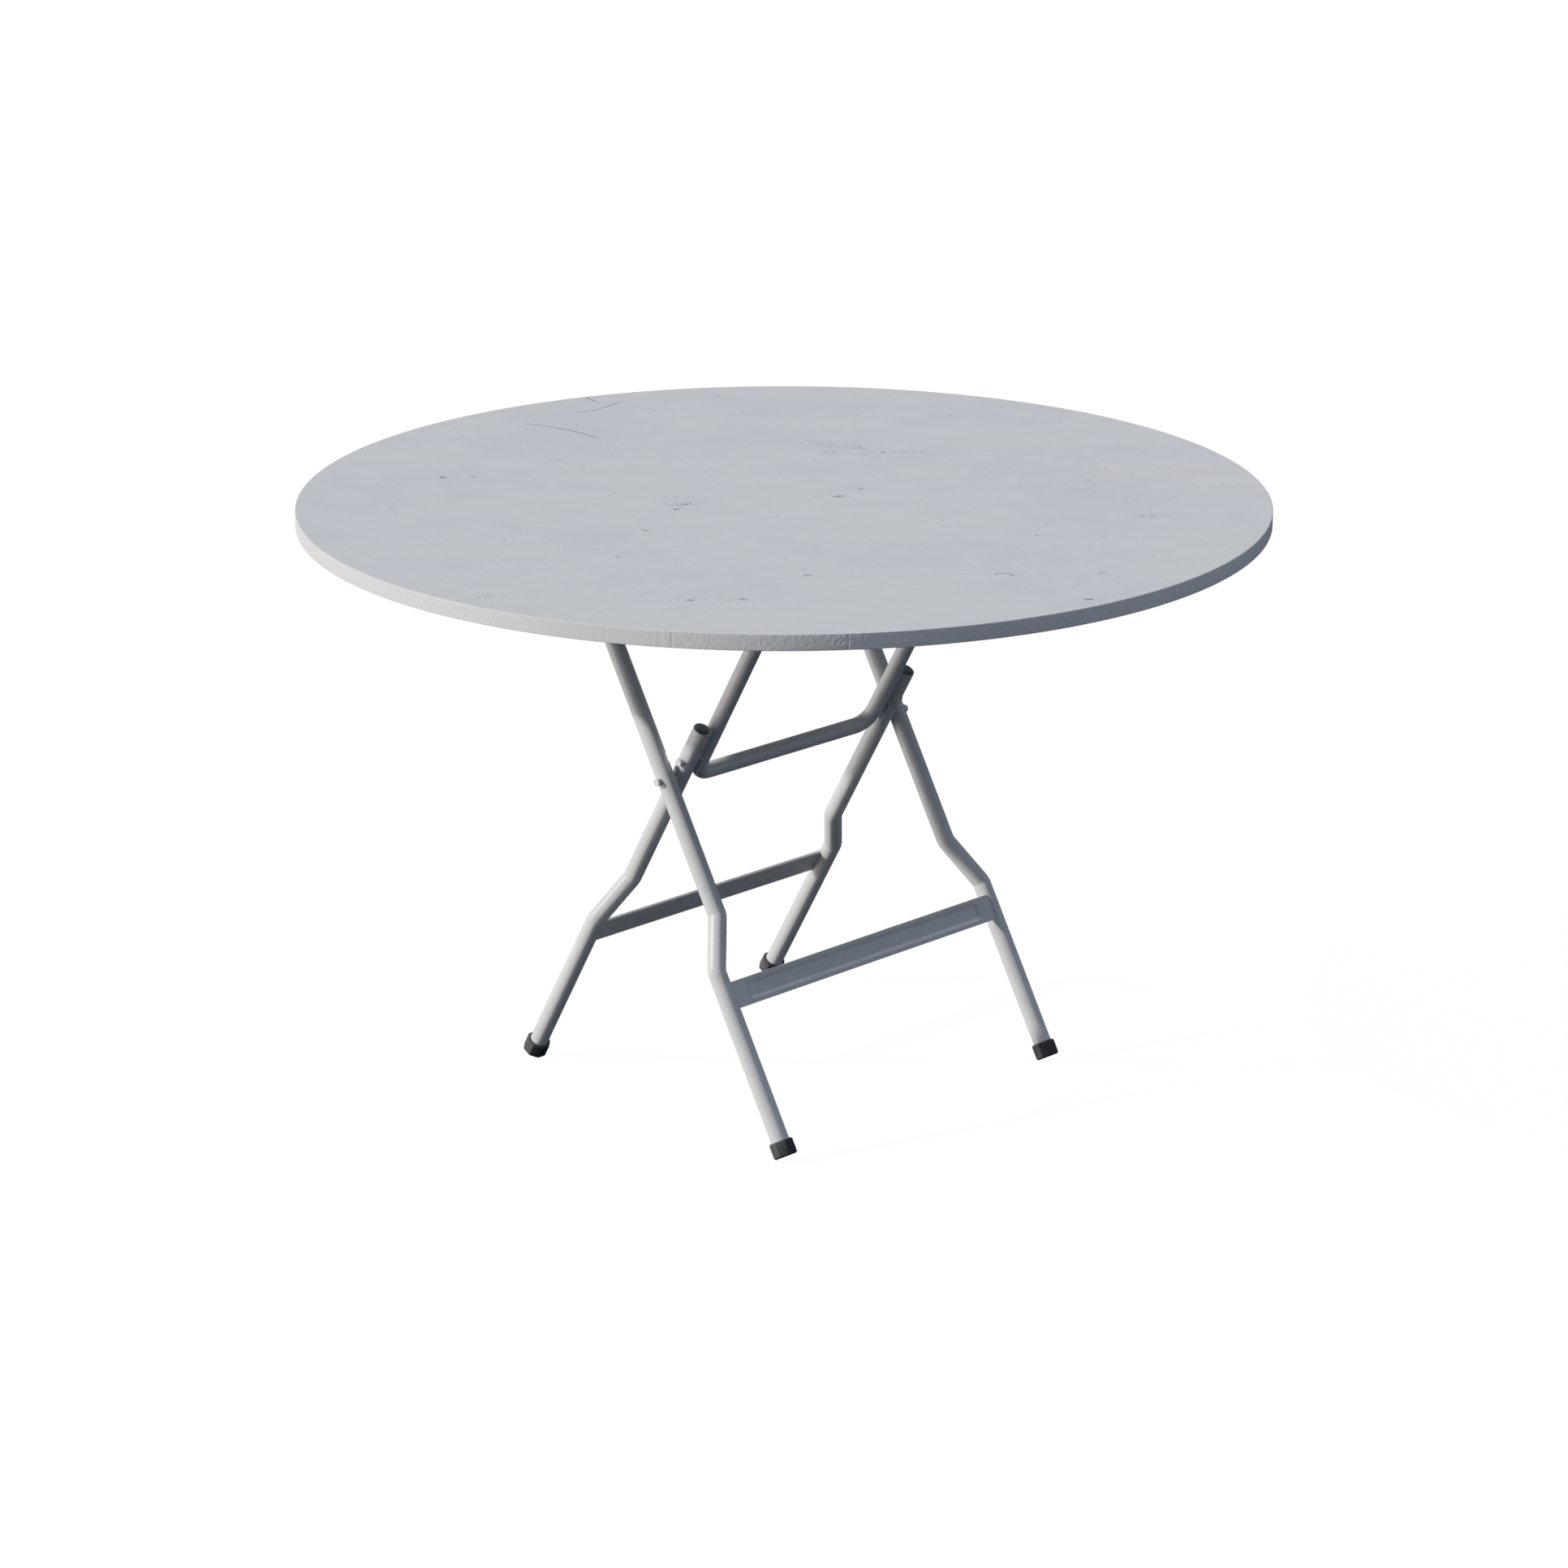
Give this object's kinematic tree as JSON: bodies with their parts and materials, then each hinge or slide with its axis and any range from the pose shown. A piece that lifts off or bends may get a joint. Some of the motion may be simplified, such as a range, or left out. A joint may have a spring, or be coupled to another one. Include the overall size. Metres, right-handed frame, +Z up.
{
  "type": "folding table",
  "caption": "Round folding table on crossed, jogged tube legs with flat spreader bars, rubber feet and a U-shaped brace; the legs fold flat under the top.",
  "frame": {"origin": "on the floor under the centre of the round top", "axes": "+Z up; the scissor, hinge and brace axes run along Y; the outer leg frame is hinged on the -X side and its feet stand on the +X side"},
  "size_m": [1.1998, 1.2, 0.742],
  "materials": {
    "top_laminate": "satin, mottled",
    "edge_plastic": "fine pebbled",
    "backing": "matte",
    "core_board": "raw particle board",
    "batten_wood": "painted grey",
    "frame_paint": "satin powder coat",
    "pin_paint": "satin",
    "zinc_steel": "zinc plated",
    "latch_paint": "satin dark grey",
    "foot_rubber": "matte"
  },
  "bodies": {
    "table_top": {"top_core": "core_board", "top_sheet": "top_laminate", "bottom_sheet": "backing", "edge_band": "edge_plastic", "batten_hinge_side": "batten_wood", "batten_latch_side": "batten_wood", "batten_screws": "zinc_steel", "hinge_bracket_left": "zinc_steel", "hinge_bracket_right": "zinc_steel", "hinge_bracket_screws": "zinc_steel", "hinge_pin_left": "zinc_steel", "hinge_pin_right": "zinc_steel", "hinge_nuts": "zinc_steel", "saddle_left": "zinc_steel", "saddle_right": "zinc_steel", "saddle_screws": "zinc_steel", "latch_bracket": "zinc_steel", "latch_screws": "zinc_steel", "latch_pin": "zinc_steel", "latch_spring": "zinc_steel"},
    "latch": {"latch_lever": "latch_paint"},
    "frame_a": {"leg_a_left": "frame_paint", "leg_a_right": "frame_paint", "spreader_a": "frame_paint", "foot_a_left": "foot_rubber", "foot_a_right": "foot_rubber", "pivot_pin_left": "pin_paint", "pivot_pin_right": "pin_paint"},
    "frame_b": {"leg_b_left": "frame_paint", "leg_b_right": "frame_paint", "spreader_b": "frame_paint", "foot_b_left": "foot_rubber", "foot_b_right": "foot_rubber", "brace_pin_left": "pin_paint", "brace_pin_right": "pin_paint"},
    "brace": {"brace_tube": "frame_paint", "stop_plate_left": "frame_paint", "stop_plate_right": "frame_paint", "lock_rod": "zinc_steel", "rod_caps": "zinc_steel"}
  },
  "joints": [
    {"name": "leg_fold", "type": "hinge", "parent": "table_top", "child": "frame_a", "pos_m": [-0.14434, 0, 0.674], "axis": [0, -1, 0], "range_deg": [0, 60]},
    {"name": "scissor", "type": "hinge", "parent": "frame_a", "child": "frame_b", "pos_m": [0, 0, 0.424], "axis": [0, -1, 0], "range_deg": [0, 57.01]},
    {"name": "brace_fold", "type": "hinge", "parent": "frame_b", "child": "brace", "pos_m": [0.0133, 0, 0.44704], "axis": [0, -1, 0], "range_deg": [-179.01, 0]},
    {"name": "latch_release", "type": "hinge", "parent": "table_top", "child": "latch", "pos_m": [0.11594, 0, 0.68], "axis": [0, 1, 0], "range_deg": [0, 18], "stiffness_Nm_per_rad": 0.2, "springref_deg": -20.05}
  ],
  "couplings": [
    {"joint": "scissor", "follows": "leg_fold", "ratio": 0.95},
    {"joint": "brace_fold", "follows": "leg_fold", "ratio": -2.9833}
  ]
}
